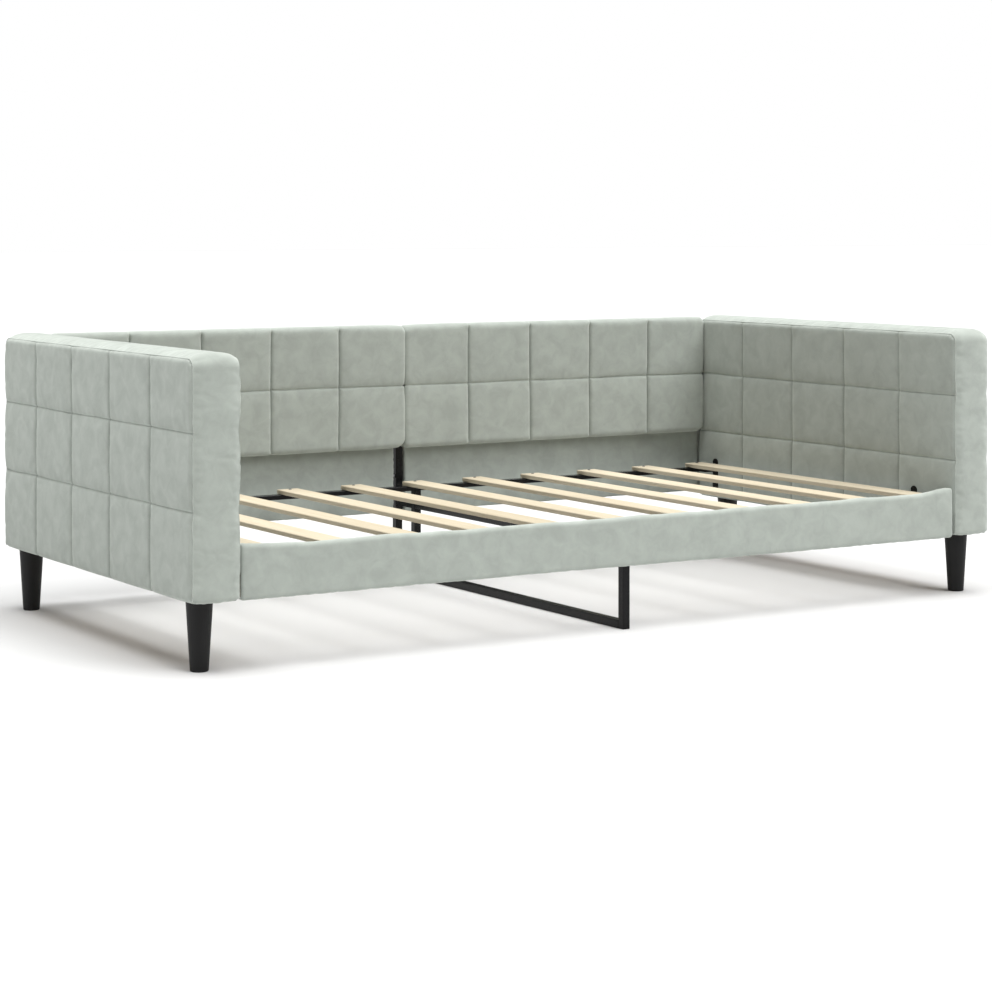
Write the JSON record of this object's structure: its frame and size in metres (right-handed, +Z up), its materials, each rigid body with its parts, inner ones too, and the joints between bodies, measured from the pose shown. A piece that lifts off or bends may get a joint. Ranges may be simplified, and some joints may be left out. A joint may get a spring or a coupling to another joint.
{
  "type": "daybed",
  "caption": "Upholstered daybed with square-tufted arms and back, a padded front rail and a slatted base on steel rails.",
  "frame": {"origin": "on the floor, under the middle of the whole daybed's length and depth", "axes": "+X along the bed, towards the right arm as seen from the open front; +Y from the open front to the back; +Z up"},
  "size_m": [2.24, 1.1238, 0.671],
  "materials": {
    "velvet": "short-pile velvet, light sage grey-green",
    "velvet_back": "short-pile velvet on the rear faces",
    "timber": "bare pine and board inside the upholstery",
    "slat_wood": "planed pale wood, unvarnished",
    "black_steel": "matt black powder coat",
    "bolt_steel": "zinc-plated steel",
    "leg_black": "matt black",
    "black_plastic": "matt black"
  },
  "bodies": {
    "root": {"arm_outer_pad_left": "velvet", "arm_outer_pad_right": "velvet", "arm_inner_pad_left": "velvet", "arm_inner_pad_right": "velvet", "arm_band_left": "velvet", "arm_band_right": "velvet", "arm_frame_left": "timber", "arm_frame_right": "timber", "arm_base_left": "timber", "arm_base_right": "timber", "leg_front_left": "leg_black", "leg_front_right": "leg_black", "leg_rear_left": "leg_black", "leg_rear_right": "leg_black", "leg_bolt_front_left": "bolt_steel", "leg_bolt_front_right": "bolt_steel", "leg_bolt_rear_left": "bolt_steel", "leg_bolt_rear_right": "bolt_steel", "arm_bracket_front_left": "black_steel", "arm_bracket_front_right": "black_steel", "arm_bracket_rear_left": "black_steel", "arm_bracket_rear_right": "black_steel", "front_rail_cover": "velvet", "front_rail_board": "timber", "rail_angle_left": "black_steel", "rail_angle_right": "black_steel", "back_board_left": "velvet_back", "back_board_right": "velvet_back", "back_lower_pad_left": "velvet", "back_lower_pad_right": "velvet", "back_cushion_left": "velvet", "back_cushion_right": "velvet", "back_bolt_1_left": "bolt_steel", "back_bolt_1_right": "bolt_steel", "back_bolt_2_left": "bolt_steel", "back_bolt_2_right": "bolt_steel", "back_post": "black_steel", "back_post_foot": "black_plastic", "back_tie_rod_1": "bolt_steel", "back_tie_rod_2": "bolt_steel", "slat_01": "slat_wood", "slat_02": "slat_wood", "slat_03": "slat_wood", "slat_04": "slat_wood", "slat_05": "slat_wood", "slat_06": "slat_wood", "slat_07": "slat_wood", "slat_08": "slat_wood", "slat_09": "slat_wood", "slat_10": "slat_wood", "slat_11": "slat_wood", "slat_rail_front": "black_steel", "slat_rail_rear": "black_steel", "support_front_post": "black_steel", "support_rear_post": "black_steel", "support_floor_bar": "black_steel", "support_cross_bar": "black_steel", "support_tie_bar": "black_steel"}
  },
  "joints": []
}
